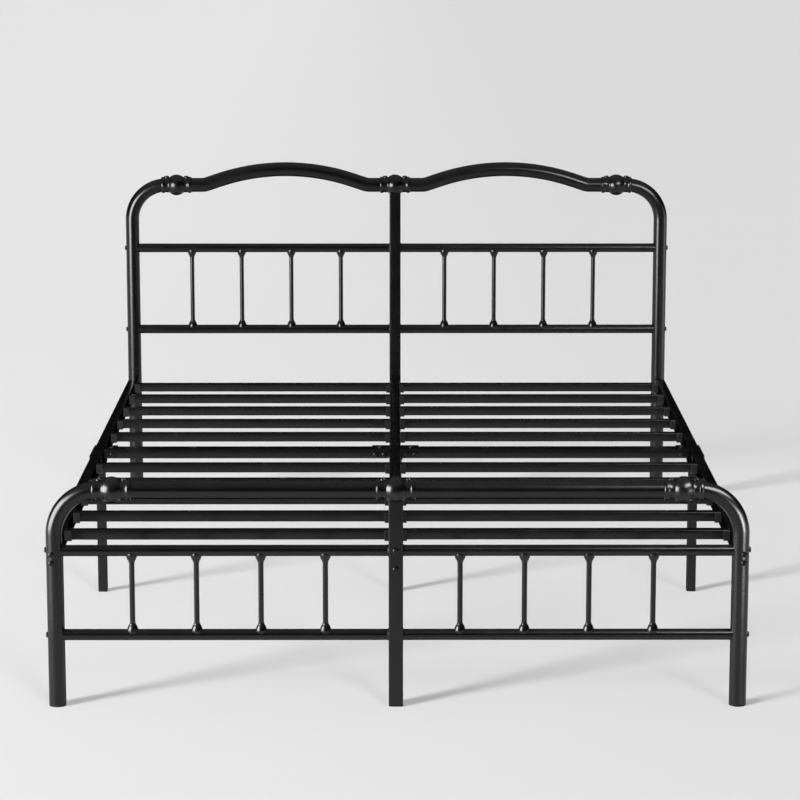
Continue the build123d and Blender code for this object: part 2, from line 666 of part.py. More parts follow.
def side_leg(side):
    outer = SIDE_MIDDLE_X + SIDE_SLEEVE_HALF - LEG_PLATE_MARGIN
    plate_x = sorted((side * (LEG_X - LEG_W / 2), side * outer))
    return leg(side * LEG_X, SIDE_SLEEVE_BOTTOM, plate_x)


def centre_leg():
    plate_x = (CENTRE_X - CENTRE_SLEEVE_HALF, CENTRE_X + CENTRE_SLEEVE_HALF)
    return leg(CENTRE_X, CENTRE_SLEEVE_BOTTOM, plate_x)


def square_cap(x, y, width, wall):
    foot = Box(width, width, CAP_FLOOR, align=LOW)
    foot = fillet(foot.edges().filter_by(Axis.Z), CAP_CORNER_R)
    foot = fillet(foot.faces().sort_by(Axis.Z)[0].edges(), CAP_EDGE_R)
    plug_w = width - 2 * wall - 2 * CAP_FIT
    plug = fillet(Box(plug_w, plug_w, CAP_PLUG, align=LOW).edges().filter_by(Axis.Z), PLUG_CORNER)
    return Pos(x, y, 0) * (foot + Pos(0, 0, CAP_FLOOR) * plug)


def round_cap(x, y):
    foot = fillet(Cylinder(POST_R, CAP_FLOOR, align=LOW).faces().sort_by(Axis.Z)[0].edges(), CAP_EDGE_R)
    plug = Pos(0, 0, CAP_FLOOR) * Cylinder(POST_R - POST_WALL - CAP_FIT, CAP_PLUG, align=LOW)
    return Pos(x, y, 0) * (foot + plug)


def foot_caps():
    caps = [square_cap(x, LEG_Y, LEG_W, LEG_WALL) for x in (-LEG_X, CENTRE_X, LEG_X)]
    for end in ENDS:
        caps += [round_cap(side * POST_X, end_y(end)) for side in SIDES.values()]
        caps.append(square_cap(CENTRE_X, end_y(end), CENTRE_POST_W, POST_WALL))
    return caps


# ---------------------------------------------------------------- every node
parts = {}
for end in ENDS:
    y, top_z = end_y(end), TOP_Z[end]
    tubes = [post_solid(end, side) for side in SIDES.values()]
    tubes += [swept(top_path(end, side), TOP_R) for side in SIDES.values()]
    for name in BALLS_X:
        parts[f"{end}_{name}_ball"] = ball_joint(end, name, tubes)
    for name, side in SIDES.items():
        parts[f"{end}_{name}_post"] = corner_post(end, side)
        parts[f"{end}_{name}_{'arch' if end == 'headboard' else 'top_tube'}"] = top_tube(end, side)
        for level, z in zip(("upper", "lower"), RAILS_Z[end]):
            parts[f"{end}_{name}_{level}_rail"] = round_rail(end, side, z)
    parts[f"{end}_centre_post"] = centre_post(end)
    parts[f"{end}_spindles"] = group([spindle(end, x) for x in spindle_xs()])
    parts[f"{end}_knuckles"] = group([knuckle(end, x, z) for x in spindle_xs() for z in RAILS_Z[end]])

corners = [(end, side) for end in ENDS for side in SIDES.values()]
rail_ends = [(end, side, z) for end, side in corners for z in RAILS_Z[end]]
screw_places = [(x, end_y(end), TOP_Z[end]) for end in ENDS for x in collar_screw_xs()]
side_bolt_places = [(end, side, z) for end, side in corners for z in SIDE_BOLTS_Z]
parts["collar_screws"] = group([collar_screw(*place) for place in screw_places])
parts["spigots"] = group([spigot(end, name) for end in ENDS for name in BALLS_X])
parts["rail_inserts"] = group([rail_insert(*place) for place in rail_ends])
parts["rail_bolts"] = group([rail_bolt(*place) for place in rail_ends])
parts["side_rail_end_blocks"] = group([end_block(end, side) for end, side in corners])
parts["side_rail_bolts"] = group([side_rail_bolt(*place) for place in side_bolt_places])
parts["centre_rail_end_plates"] = group([end_plate(end) for end in ENDS])
parts["centre_rail_bolts"] = group([centre_rail_bolt(end, z) for end in ENDS for z in CENTRE_BOLTS_Z])
for half in HALVES:
    parts[f"centre_rail_{half}"] = centre_rail(half)
    for name, side in SIDES.items():
        parts[f"{name}_side_rail_{half}"] = side_rail(half, side)

slat_ys = SLATS_Y["rear"] + SLATS_Y["front"]
joint_bolts = sleeve_bolts(CENTRE_X, 1, CENTRE_SLEEVE_HALF, CENTRE_MIDDLE_Z)
side_holders, centre_holders, side_brackets, centre_brackets, bar_bolts = [], [], [], [], []
for name, side in SIDES.items():
    parts[f"{name}_joint_sleeve"] = side_sleeve(side)
    joint_bolts += sleeve_bolts(side * SIDE_MIDDLE_X, side, SIDE_SLEEVE_HALF, SIDE_MIDDLE_Z)

    parts[f"{name}_slats"] = group([slat(side, y) for y in slat_ys])
    side_holders += [holder(side * SIDE_INNER_X, -side, y, SIDE_HOLDER_LENGTH) for y in slat_ys]
    centre_holders += [holder(CENTRE_X + side * CENTRE_HALF, side, y, CENTRE_HOLDER_LENGTH) for y in slat_ys]

    at_side = (side * BRACKET_FACE_X, -side)
    at_centre = (CENTRE_X + side * CENTRE_SLEEVE_HALF, side)
    side_brackets.append(bracket(*at_side, SIDE_BRACKET_LENGTH, SIDE_BRACKET_BOLTS))
    centre_brackets.append(bracket(*at_centre, CENTRE_BRACKET_LENGTH, CENTRE_BRACKET_BOLTS))
    bolts = bracket_bolts(*at_side, SIDE_BRACKET_BOLTS) + bracket_bolts(*at_centre, CENTRE_BRACKET_BOLTS)
    parts[f"{name}_mid_crossbar"] = crossbar(side, bolts)
    bar_bolts += bolts
    parts[f"{name}_middle_leg"] = side_leg(side)

parts["centre_joint_sleeve"] = centre_sleeve()
parts["joint_sleeve_bolts"] = group(joint_bolts)
parts["side_slat_holders"] = group(side_holders)
parts["centre_slat_holders"] = group(centre_holders)
parts["side_crossbar_brackets"] = group(side_brackets)
parts["centre_crossbar_brackets"] = group(centre_brackets)
parts["crossbar_bolts"] = group(bar_bolts)
parts["centre_middle_leg"] = centre_leg()
parts["foot_caps"] = group(foot_caps())

# ---------------------------------------------------------------- write one STEP per node
for node, shape in parts.items():
    export_step(shape, f"parts/{node}.step")
print(len(parts), "nodes")
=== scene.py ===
"""Looks of a black steel bed frame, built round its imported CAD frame. Metres, +Z up, head end at +Y."""

import json
import random
from math import asin, cos, degrees, pi, radians, sin, sqrt, tan

import bmesh
import bpy
from mathutils import Euler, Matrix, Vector

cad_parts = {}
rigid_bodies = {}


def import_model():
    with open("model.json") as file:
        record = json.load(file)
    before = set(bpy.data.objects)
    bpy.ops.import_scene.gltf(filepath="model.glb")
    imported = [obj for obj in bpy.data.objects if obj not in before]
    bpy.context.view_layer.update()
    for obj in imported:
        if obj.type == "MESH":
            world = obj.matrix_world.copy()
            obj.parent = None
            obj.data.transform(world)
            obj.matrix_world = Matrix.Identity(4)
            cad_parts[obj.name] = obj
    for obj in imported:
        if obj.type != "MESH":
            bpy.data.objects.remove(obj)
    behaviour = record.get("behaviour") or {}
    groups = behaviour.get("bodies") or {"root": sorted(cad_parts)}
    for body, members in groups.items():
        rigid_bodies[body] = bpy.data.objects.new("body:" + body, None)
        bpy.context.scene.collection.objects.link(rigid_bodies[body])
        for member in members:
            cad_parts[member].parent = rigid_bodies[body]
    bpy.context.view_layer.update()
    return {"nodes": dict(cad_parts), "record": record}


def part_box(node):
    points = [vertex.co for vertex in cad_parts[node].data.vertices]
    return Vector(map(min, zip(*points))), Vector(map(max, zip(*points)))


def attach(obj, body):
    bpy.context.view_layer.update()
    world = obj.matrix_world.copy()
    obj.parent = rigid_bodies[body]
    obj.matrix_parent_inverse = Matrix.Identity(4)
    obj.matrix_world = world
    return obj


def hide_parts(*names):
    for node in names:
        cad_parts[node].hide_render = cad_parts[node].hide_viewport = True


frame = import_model()
NODES = frame["nodes"]
random.seed(7)

# ---------------------------------------------------------------- sizes the frame's boxes don't give
MM = 0.001
POST_BEND_R = 100 * MM
ARCH_RISE = 45 * MM
ARCH_SLOPE = radians(18.5)
ARCH_CROWN_R = 600 * MM
ARCH_HEEL_R = 50 * MM
TUBE_WALL = 1.5 * MM
TOP_R = 20 * MM
COLLAR_R = 21.2 * MM
LIP_R = 23.1 * MM
LIP_START = 33 * MM
COLLAR_END_R = 20.4 * MM
SOCKET_X = 22 * MM
SPIGOT_R = 17.4 * MM
SCREW_X = 28 * MM
BALL_FILLET = 1.2 * MM
BALL_FILLET_ANGLE = 2.5
STUB_CORNER = 1.5 * MM
PLUG_GAP = 0.2 * MM
RAIL_WALL = 1.2 * MM
SPINDLE_R = 6 * MM
SPINDLE_WALL = 1.2 * MM
SPINDLE_PITCH = 142.5 * MM
SPINDLES_PER_SIDE = 4
KNUCKLE_R = 12.6 * MM
KNUCKLE_LIFT = 8.5 * MM
KNUCKLE_CHEEK_R = 24.4 * MM
KNUCKLE_NECK_R = 6.6 * MM
KNUCKLE_CHEEK_ANGLE = 35.3
SLAT_PITCH = {"rear": 180.5 * MM, "front": 181 * MM}
SLATS_PER_HALF = 5
SLAT_WALL = 1 * MM
SLAT_W = 25 * MM
SLAT_CORNER = 2 * MM
HOLDER_WALL = 3 * MM
HOLDER_BACK = 2 * MM
HOLDER_CORNER = 2.5 * MM
HOLDER_LENGTHS = {"side": 15 * MM, "centre": 13 * MM}
SLEEVE_WALLS = {"left": 3 * MM, "right": 3 * MM, "centre": 2.5 * MM}
SLEEVE_BOLTS_Y = (-56 * MM, -32 * MM, 46 * MM, 60 * MM)
LONG_RAIL_CORNER = 3 * MM
CROSSBAR_CORNER = 2 * MM
BRACKET_PLATE = 2.5 * MM
BRACKET_FLANGE = 3 * MM
BRACKET_CORNER = 2 * MM
BRACKET_LENGTHS = {"side": 30 * MM, "centre": 44 * MM}
BRACKET_BOLTS = {"side": (18 * MM, 20 * MM), "centre": (24 * MM, 13 * MM, 35 * MM)}
SIDE_BOLT_X = 763 * MM
SIDE_BOLTS_Z = (348 * MM, 329 * MM)
CENTRE_BOLTS_Z = (356 * MM, 314 * MM)
M6_R, M8_R = 3 * MM, 4 * MM
SMALL_HEAD_R, SMALL_SOCKET_R = 6.3 * MM, 2.5 * MM
LARGE_HEAD_R, LARGE_SOCKET_R = 7 * MM, 3 * MM
LEG_X = {"left": -755 * MM, "right": 755 * MM}
LEG_W = 23 * MM
LEG_PLATE = 4 * MM
CAP_FLOOR = 4 * MM
CAP_TOP = 24 * MM
CAP_RIM = 1.2 * MM
SIDES = {"left": -1, "right": 1}
ENDS = {"headboard": 1, "footboard": -1}
# Floor greys with painted light: lighter to the left, a little darker towards the back.
FLOOR_LIT_NEAR_LEFT = (0.82, 0.82, 0.82)
FLOOR_LIT_NEAR_RIGHT = (0.72, 0.72, 0.72)
FLOOR_LIT_FAR_LEFT = (0.765, 0.765, 0.765)
FLOOR_LIT_FAR_RIGHT = (0.69, 0.69, 0.69)


# ---------------------------------------------------------------- reading the frame
def low(node):
    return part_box(node)[0]


def high(node):
    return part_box(node)[1]


def middle(node):
    return (low(node) + high(node)) / 2


def size(node):
    return high(node) - low(node)


# ---------------------------------------------------------------- materials
def new_material(name, base, roughness, specular=0.5, metallic=0.0):
    material = bpy.data.materials.new(name)
    material.use_nodes = True
    nodes = material.node_tree.nodes
    shader = nodes["Principled BSDF"]
    shader.inputs["Base Color"].default_value = (*base, 1)
    shader.inputs["Roughness"].default_value = roughness
    shader.inputs["Specular IOR Level"].default_value = specular
    shader.inputs["Metallic"].default_value = metallic
    return material, nodes, material.node_tree.links, shader


def noise(nodes, links, where, scale, detail, roughness=0.5):
    found = nodes.new("ShaderNodeTexNoise")
    found.inputs["Scale"].default_value = scale
    found.inputs["Detail"].default_value = detail
    found.inputs["Roughness"].default_value = roughness
    links.new(where, found.inputs["Vector"])
    return found.outputs["Fac"]


def spread(nodes, links, value, low_in, high_in, low_out, high_out):
    """Maps a range of a value to another range."""
    found = nodes.new("ShaderNodeMapRange")
    found.inputs["From Min"].default_value = low_in
    found.inputs["From Max"].default_value = high_in
    found.inputs["To Min"].default_value = low_out
    found.inputs["To Max"].default_value = high_out
    links.new(value, found.inputs["Value"])
    return found.outputs["Result"]


def mix_colour(nodes, links, factor, first, second):
    """Mixes two colours, each given as three numbers or as a socket."""
    found = nodes.new("ShaderNodeMix")
    found.data_type = "RGBA"
    for socket, colour in zip("AB", (first, second)):
        if isinstance(colour, tuple):
            found.inputs[socket].default_value = (*colour, 1)
        else:
            links.new(colour, found.inputs[socket])
    links.new(factor, found.inputs["Factor"])
    return found.outputs["Result"]


def bump(nodes, links, height, distance, strength, under=None):
    found = nodes.new("ShaderNodeBump")
    found.inputs["Distance"].default_value = distance
    found.inputs["Strength"].default_value = strength
    links.new(height, found.inputs["Height"])
    if under:
        links.new(under, found.inputs["Normal"])
    return found.outputs["Normal"]


def maths(nodes, links, operation, first, second=None):
    found = nodes.new("ShaderNodeMath")
    found.operation = operation
    for socket, value in zip(found.inputs, (first, second)):
        if value is not None:
            links.new(value, socket)
    return found.outputs["Value"]


def painted_shade_in_shine(nodes, links, normal, level):
    """Painted shade in the coat's reflections: its shine is cut on undersides and on faces square to X."""
    sideways = maths(nodes, links, "ABSOLUTE", normal.outputs["X"])
    sides = spread(nodes, links, sideways, 0.90, 0.97, 1.0, 0.0)
    below = spread(nodes, links, normal.outputs["Z"], -0.60, -0.80, 1.0, 0.0)
    return spread(nodes, links, maths(nodes, links, "MULTIPLY", sides, below), 0.0, 1.0, 0.0, level)


def painted(name, dark, light, roughness, specular, grain_mm, grain_depth, waves=0.0):
    """Black paint or powder coat: a grain, patches of slightly different gloss, a trace of dust on top."""
    material, nodes, links, shader = new_material(name, dark, roughness, specular)
    where = nodes.new("ShaderNodeTexCoord").outputs["Object"]
    patches = noise(nodes, links, where, 14, 4, 0.6)
    grain = noise(nodes, links, where, 1 / (grain_mm * MM), 3, 0.55)
    long_waves = noise(nodes, links, where, 60, 2)

    facing = nodes.new("ShaderNodeNewGeometry")
    split = nodes.new("ShaderNodeSeparateXYZ")
    links.new(facing.outputs["Normal"], split.inputs["Vector"])
    upward = spread(nodes, links, split.outputs["Z"], 0.3, 1.0, 0.0, 1.0)
    dust = maths(nodes, links, "MULTIPLY", upward, spread(nodes, links, patches, 0.42, 0.68, 0.1, 0.6))

    colour = mix_colour(nodes, links, dust, dark, light)
    links.new(colour, shader.inputs["Base Color"])
    # Painted shade: less shine on undersides and on faces square to X.
    links.new(painted_shade_in_shine(nodes, links, split, specular), shader.inputs["Specular IOR Level"])
    links.new(spread(nodes, links, patches, 0.3, 0.7, roughness - 0.035, roughness + 0.045),
              shader.inputs["Roughness"])
    under = bump(nodes, links, long_waves, 0.4 * MM, waves) if waves else None
    links.new(bump(nodes, links, grain, grain_depth * MM, 0.35, under), shader.inputs["Normal"])
    return material


def moulded(name, dark, light, roughness):
    """Matte moulded plastic: a fine spark-eroded texture."""
    material, nodes, links, shader = new_material(name, dark, roughness, 0.35)
    where = nodes.new("ShaderNodeTexCoord").outputs["Object"]
    grain = noise(nodes, links, where, 2600, 2)
    patches = noise(nodes, links, where, 40, 3)
    links.new(mix_colour(nodes, links, patches, dark, light), shader.inputs["Base Color"])
    uneven = spread(nodes, links, grain, 0.3, 0.7, roughness - 0.06, roughness + 0.08)
    links.new(uneven, shader.inputs["Roughness"])
    links.new(bump(nodes, links, grain, 0.1 * MM, 0.5), shader.inputs["Normal"])
    return material


def drawn_steel(name):
    """Plain steel with fine draw lines along X."""
    material, nodes, links, shader = new_material(name, (0.42, 0.42, 0.43), 0.38, 0.5, metallic=1.0)
    where = nodes.new("ShaderNodeTexCoord").outputs["Object"]
    stretch = nodes.new("ShaderNodeMapping")
    stretch.inputs["Scale"].default_value = (0.04, 1, 1)
    links.new(where, stretch.inputs["Vector"])
    lines = noise(nodes, links, stretch.outputs["Vector"], 1800, 3)
    colour = mix_colour(nodes, links, lines, (0.34, 0.34, 0.35), (0.5, 0.5, 0.5))
    links.new(colour, shader.inputs["Base Color"])
    links.new(spread(nodes, links, lines, 0.3, 0.7, 0.28, 0.48), shader.inputs["Roughness"])
    return material


def floor_paint(name):
    """Pale grey paper with painted light: lighter to the left and a little darker towards the back. In
    reflections it turns near-black a few metres in front of the bed, a painted dark reflection.
    """
    material, nodes, links, shader = new_material(name, FLOOR_LIT_NEAR_LEFT, 0.8, 0.1)
    where = nodes.new("ShaderNodeTexCoord").outputs["Object"]
    split = nodes.new("ShaderNodeSeparateXYZ")
    links.new(where, split.inputs["Vector"])
    to_right = spread(nodes, links, split.outputs["X"], -1.3, 0.9, 0.0, 1.0)
    to_back = spread(nodes, links, split.outputs["Y"], -2.0, 4.0, 0.0, 1.0)
    # Painted light: the paper is lighter to the left and a little darker towards the back.
    near = mix_colour(nodes, links, to_right, FLOOR_LIT_NEAR_LEFT, FLOOR_LIT_NEAR_RIGHT)
    far = mix_colour(nodes, links, to_right, FLOOR_LIT_FAR_LEFT, FLOOR_LIT_FAR_RIGHT)
    paper = mix_colour(nodes, links, to_back, near, far)
    # Painted dark reflection: for glossy rays the floor in front of the bed turns near-black.
    in_front = spread(nodes, links, split.outputs["Y"], -2.4, -4.2, 0.0, 1.0)
    glossy_ray = nodes.new("ShaderNodeLightPath").outputs["Is Glossy Ray"]
    painted_dark_reflection = maths(nodes, links, "MULTIPLY", in_front, glossy_ray)
    links.new(mix_colour(nodes, links, painted_dark_reflection, paper, (0.01, 0.01, 0.01)), shader.inputs["Base Color"])
    return material


BLACK = (0.002, 0.002, 0.0021)
DUSTY = (0.005, 0.005, 0.005)
MATERIALS = {
    "black_powder_coat": painted("powder_coat", BLACK, DUSTY, 0.24, 0.42, 0.9, 0.05, waves=0.04),
    "cast_black": painted("cast_black", BLACK, DUSTY, 0.26, 0.48, 1.4, 0.05, waves=0.12),
    "black_fasteners": painted("fasteners", BLACK, (0.004, 0.004, 0.004), 0.25, 0.45, 0.6, 0.03),
    "black_plastic": moulded("plastic", (0.003, 0.003, 0.0031), (0.006, 0.006, 0.006), 0.45),
    "bare_steel": drawn_steel("bare_steel"),
}


# ---------------------------------------------------------------- shell building
class Shells:
    """Closed shells gathered into one mesh."""

    def __init__(self):
        self.verts, self.faces = [], []

    def ring(self, points):
        start = len(self.verts)
        self.verts.extend(tuple(p) for p in points)
        return list(range(start, start + len(points)))

    def skin(self, rings, looped=False):
        """Joins rings of points, one after another. Open ends are closed with a fan."""
        ids = [self.ring(points) for points in rings]
        pairs = list(zip(ids, ids[1:]))
        if looped:
            pairs.append((ids[-1], ids[0]))
        for first, second in pairs:
            count = len(first)
            for i in range(count):
                j = (i + 1) % count
                self.faces.append((first[i], first[j], second[j], second[i]))
        if not looped:
            self.fan(ids[0], rings[0], True)
            self.fan(ids[-1], rings[-1], False)

    def fan(self, ids, points, flipped):
        centre = sum((Vector(p) for p in points), Vector()) / len(points)
        hub = self.ring([centre])[0]
        for i, first in enumerate(ids):
            second = ids[(i + 1) % len(ids)]
            self.faces.append((hub, second, first) if flipped else (hub, first, second))

    def piece(self, name, slot, replaced=(), sharp=34, bevel=None):
        """Makes the object, rides it on the frame and hides the CAD parts it stands for."""
        mesh = bpy.data.meshes.new(name)
        mesh.from_pydata(self.verts, [], self.faces)
        mesh.validate()
        obj = bpy.data.objects.new(name, mesh)
        bpy.context.scene.collection.objects.link(obj)
        mesh.materials.append(MATERIALS[slot])
        outward(mesh)
        mesh.shade_smooth()
        mesh.set_sharp_from_angle(angle=radians(sharp))
        if bevel:
            rounding = obj.modifiers.new("rounded edges", "BEVEL")
            rounding.width, rounding.segments = bevel, 2
            rounding.limit_method, rounding.angle_limit = "ANGLE", radians(40)
        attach(obj, "root")
        if replaced:
            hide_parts(*replaced)
        return obj


def outward(mesh):
    work = bmesh.new()
    work.from_mesh(mesh)
    bmesh.ops.recalc_face_normals(work, faces=work.faces)
    work.to_mesh(mesh)
    work.free()


def circle(centre, u, v, radius, count):
    """Points round a circle in the plane of u and v. radius may be a function of the angle."""
    points = []
    for i in range(count):
        angle = 2 * pi * i / count
        r = radius(angle) if callable(radius) else radius
        points.append(centre + (u * cos(angle) + v * sin(angle)) * r)
    return points


def axes_for(direction):
    """Two directions square to a direction."""
    direction = Vector(direction).normalized()
    helper = Vector((0, 0, 1)) if abs(direction.z) < 0.9 else Vector((1, 0, 0))
    u = helper.cross(direction).normalized()
    return direction, u, direction.cross(u)


def lathe(shells, origin, direction, profile, count=64, looped=True):
    """Turns a profile of (distance along the axis, radius) about an axis."""
    direction, u, v = axes_for(direction)
    origin = Vector(origin)
    shells.skin([circle(origin + direction * s, u, v, r, count) for s, r in profile], looped)


def arc(centre, radius, start, end, steps):
    """Points of a circular arc in a profile, by angles in degrees."""
    angles = [radians(start + (end - start) * i / steps) for i in range(steps + 1)]
    return [(centre[0] + radius * cos(a), centre[1] + radius * sin(a)) for a in angles]


def rounded_path(corners, radii, step=radians(2)):
    """Points along a line of straight runs with rounded corners, and the direction at each point."""
    path = []
    corners = [Vector(c) for c in corners]
    first = (corners[1] - corners[0]).normalized()
    path.append((corners[0], first))
    for before, corner, after, radius in zip(corners, corners[1:], corners[2:], radii):
        d_in, d_out = (corner - before).normalized(), (after - corner).normalized()
        turn = d_in.angle(d_out)
        back = radius * tan(turn / 2)
        normal = (d_out - d_in * d_in.dot(d_out)).normalized()
        centre = corner - d_in * back + normal * radius
        steps = max(4, int(turn / step))
        for i in range(steps + 1):
            a = turn * i / steps
            point = centre + (d_in * sin(a) - normal * cos(a)) * radius
            path.append((point, d_in * cos(a) + normal * sin(a)))
    path.append((corners[-1], (corners[-1] - corners[-2]).normalized()))
    return path


def bent_tube(shells, path, radius, wall, count=64):
    """Tube along a path that lies in an XZ plane."""
    across = Vector((0, 1, 0))
    outer = [circle(p, d.cross(across).normalized(), across, radius, count) for p, d in path]
    inner = [circle(p, d.cross(across).normalized(), across, radius - wall, count) for p, d in path]
    shells.skin(outer + inner[::-1], looped=True)


def rounded_rect(width, height, corner, steps=5):
    points = []
    for sx, sy, start in ((1, 1, 0), (-1, 1, 90), (-1, -1, 180), (1, -1, 270)):
        centre = (sx * (width / 2 - corner), sy * (height / 2 - corner))
        points += arc(centre, corner, start, start + 90, steps)
    return points


def prism(shells, origin, u, v, outline, length, inner=None):
    """Extrudes an outline of (u, v) points along u x v. inner makes it a tube."""
    origin, u, v = Vector(origin), Vector(u), Vector(v)
    along = u.cross(v)

    def ring(points, distance):
        return [origin + u * a + v * b + along * distance for a, b in points]

    rings = [ring(outline, 0), ring(outline, length)]
    if inner:
        rings += [ring(inner, length), ring(inner, 0)]
    shells.skin(rings, looped=bool(inner))


def box_tube(shells, origin, u, v, width, height, wall, length, corner=2.5 * MM):
    outer = rounded_rect(width, height, corner)
    inner = rounded_rect(width - 2 * wall, height - 2 * wall, max(corner - wall, 0.3 * MM))
    prism(shells, origin, u, v, outer, length, inner)


def flat_ended(shells, rings):
    """Joins two rings of points, with one flat face at each end."""
    first, last = (shells.ring(points) for points in rings)
    for i in range(len(first)):
        j = (i + 1) % len(first)
        shells.faces.append((first[i], first[j], last[j], last[i]))
    shells.faces += [tuple(reversed(first)), tuple(last)]


def slab(shells, lows, highs):
    """Plain block between two corners, for shapes whose edges a bevel rounds."""
    x0, y0, z0 = lows
    x1, y1, z1 = highs
    outline = [(x0, y0), (x1, y0), (x1, y1), (x0, y1)]
    flat_ended(shells, [[Vector((x, y, z)) for x, y in outline] for z in (z0, z1)])


def outline_block(shells, axis, start, end, outline):
    """Extrudes an outline of the other two coordinates along X or Y."""
    def place(distance, a, b):
        return Vector((distance, a, b)) if axis == "x" else Vector((a, distance, b))

    flat_ended(shells, [[place(distance, a, b) for a, b in outline] for distance in (start, end)])


def bolt(shells, seat, direction, shank_r, head_r, head_h, length, socket_r, sink=0.0):
    """Round-headed bolt with a hexagon socket. sink puts the head's rim below its seat on a round tube."""
    count = 48
    direction, u, v = axes_for(direction)
    seat = Vector(seat)

    def hexagon(angle):
        return socket_r * cos(pi / 6) / cos((angle % (pi / 3)) - pi / 6)

    rim = 0.42 * head_h
    crown = [(rim + (head_h - rim) * sin(radians(a)), head_r * (0.46 + 0.54 * cos(radians(a))))
             for a in range(0, 91, 9)]
    profile = [(-length, shank_r * 0.9), (-length + 0.8 * MM, shank_r), (-sink, shank_r),
               (-sink, head_r - 0.3 * MM), (-sink + 0.3 * MM, head_r)] + crown
    rings = [circle(seat + direction * s, u, v, r, count) for s, r in profile]
    for depth, grow in ((0.0, 1.08), (0.35 * MM, 1.0), (0.62 * head_h, 1.0)):
        centre = seat + direction * (head_h - depth)
        rings.append(circle(centre, u, v, lambda a, g=grow: g * hexagon(a), count))
    shells.skin(rings)


def small_bolt(shells, seat, direction, length, head_h=3 * MM, sink=0.0):
    bolt(shells, seat, direction, M6_R, SMALL_HEAD_R, head_h, length, SMALL_SOCKET_R, sink)


def large_bolt(shells, seat, direction, length, sink=0.0):
    bolt(shells, seat, direction, M8_R, LARGE_HEAD_R, 5 * MM, length, LARGE_SOCKET_R, sink)


def weld_ring(shells, centre, direction, radius, bead, ripples):
    """Weld bead round a tube where it meets a flat face, with a little unevenness."""
    direction, u, v = axes_for(direction)
    count, around = ripples * 6, 12
    shifts = [random.uniform(-0.12, 0.12) for _ in range(ripples)]
    rings = []
    for i in range(count):
        angle = 2 * pi * i / count
        ripple = 1 + 0.13 * abs(sin(ripples * angle / 2)) + shifts[(i // 6) % ripples]
        out = u * cos(angle) + v * sin(angle)
        rings.append(circle(Vector(centre) + out * radius, out, direction, bead * ripple, around))
    shells.skin(rings, looped=True)


# ---------------------------------------------------------------- headboard and footboard
def post_axis(end, side_name):
    """Where a corner post stands, its radius and the height of its bent-over top."""
    node = f"{end}_{side_name}_post"
    lows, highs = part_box(node)
    radius = (highs.y - lows.y) / 2
    x = lows.x + radius if SIDES[side_name] < 0 else highs.x - radius
    return x, (lows.y + highs.y) / 2, radius, highs.z - radius


def make_post(end, side_name):
    node = f"{end}_{side_name}_post"
    x, y, radius, top = post_axis(end, side_name)
    inner_x = high(node).x if SIDES[side_name] < 0 else low(node).x
    path = rounded_path([(x, y, low(node).z), (x, y, top), (inner_x, y, top)], [POST_BEND_R])
    shells = Shells()
    bent_tube(shells, path, radius, TUBE_WALL, 80)
    shells.piece(f"{node}_tube", "black_powder_coat", [node])


def make_top_tube(end, side_name):
    """Straight top tube of the footboard, or one arch of the headboard."""
    side = SIDES[side_name]
    arched = end == "headboard"
    node = f"{end}_{side_name}_{'arch' if arched else 'top_tube'}"
    lows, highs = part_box(node)
    radius = (highs.y - lows.y) / 2
    y, z = (lows.y + highs.y) / 2, post_axis(end, side_name)[3]
    outer_x, inner_x = (lows.x, highs.x) if side < 0 else (highs.x, lows.x)
    if arched:
        lift = ARCH_CROWN_R * (1 / cos(ARCH_SLOPE) - 1)
        half_base = (ARCH_RISE + lift) / tan(ARCH_SLOPE)
        crown_x = (middle(f"{end}_{side_name}_ball").x + middle(f"{end}_centre_ball").x) / 2
        corners = [
            (outer_x, y, z),
            (crown_x + side * half_base, y, z),
            (crown_x, y, z + half_base * tan(ARCH_SLOPE)),
            (crown_x - side * half_base, y, z),
            (inner_x, y, z),
        ]
        path = rounded_path(corners, [ARCH_HEEL_R, ARCH_CROWN_R, ARCH_HEEL_R], radians(0.8))
    else:
        path = rounded_path([(outer_x, y, z), (inner_x, y, z)], [])
    shells = Shells()
    bent_tube(shells, path, radius, TUBE_WALL, 80)
    shells.piece(f"{node}_tube", "black_powder_coat", [node])


def ball_half_profile(ball_r, collar_end):
    """From the top of the ball, over the collar and its rounded lip, to the collar's end."""
    meet = asin(COLLAR_R / ball_r)
    half = arc((0, 0), ball_r, 90, degrees(meet) + BALL_FILLET_ANGLE, 24)
    half += [(ball_r * cos(meet) + BALL_FILLET, COLLAR_R), (LIP_START - 0.6 * MM, COLLAR_R)]
    steps = 12
    for i in range(1, steps + 1):
        t = i / steps
        bow = 1 - (2 * t - 1) ** 4
        drop = (COLLAR_R - COLLAR_END_R) * max(0.0, 2 * t - 1)
        half.append((LIP_START + (collar_end - LIP_START) * t, COLLAR_R + (LIP_R - COLLAR_R) * bow - drop))
    return half


def make_ball(end, name):
    """Cast ball joint: a ball, a collar to each side and a rounded lip at each collar's end."""
    node = f"{end}_{name}_ball"
    _, y, post_r, z = post_axis(end, "left")
    x = middle(node).x
    collar_end = size(node).x / 2
    half = ball_half_profile(high(node).z - z, collar_end)
    outer = [(-s, r) for s, r in half[::-1]] + half[1:]
    inner = []
    for side_name, side in (("right", 1), ("left", -1)):
        bore = (post_r if name == side_name else TOP_R) + 0.05 * MM
        socket = [(collar_end, bore), (SOCKET_X, bore), (SOCKET_X, SPIGOT_R)]
        inner += [(side * s, r) for s, r in (socket if side > 0 else socket[::-1])]
    shells = Shells()
    lathe(shells, (x, y, z), (1, 0, 0), outer + inner, 96)
    if name == "centre":
        width = size(f"{end}_centre_post").x - 2 * (TUBE_WALL + PLUG_GAP)
        bottom = low(node).z
        outline = rounded_rect(width, width, STUB_CORNER)
        prism(shells, (x, y, bottom), (1, 0, 0), (0, 1, 0), outline, z - SPIGOT_R - 1 * MM - bottom)
    shells.piece(f"{node}_casting", "cast_black", [node])


